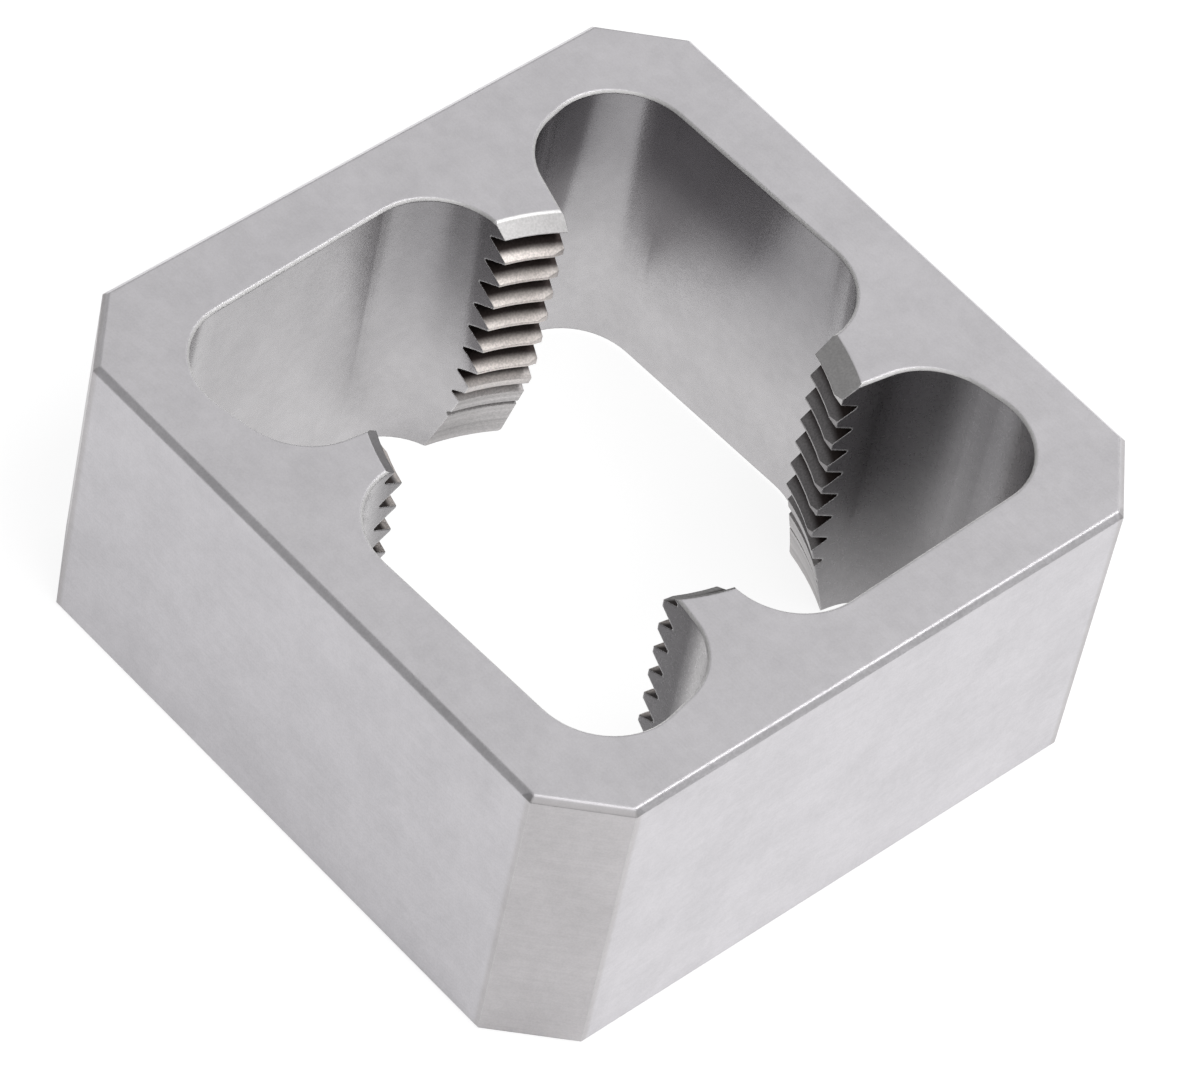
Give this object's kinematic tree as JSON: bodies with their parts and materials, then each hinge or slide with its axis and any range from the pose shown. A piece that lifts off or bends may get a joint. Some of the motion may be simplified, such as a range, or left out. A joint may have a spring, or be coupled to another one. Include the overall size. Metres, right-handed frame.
{
  "type": "solid pipe die",
  "caption": "Square solid pipe threading die with chip pockets right through it and tapered thread teeth on the lands between them.",
  "frame": {"origin": "centre of the bottom face, where the thread's axis leaves it", "axes": "+Z along the thread's axis, from the throat where the pipe enters to the top face; +X and +Y square to two of the side faces"},
  "size_m": [0.0508, 0.0508, 0.0235],
  "materials": {
    "ground_steel": "satin ground steel"
  },
  "bodies": {
    "root": {"die": "ground_steel"}
  },
  "joints": []
}
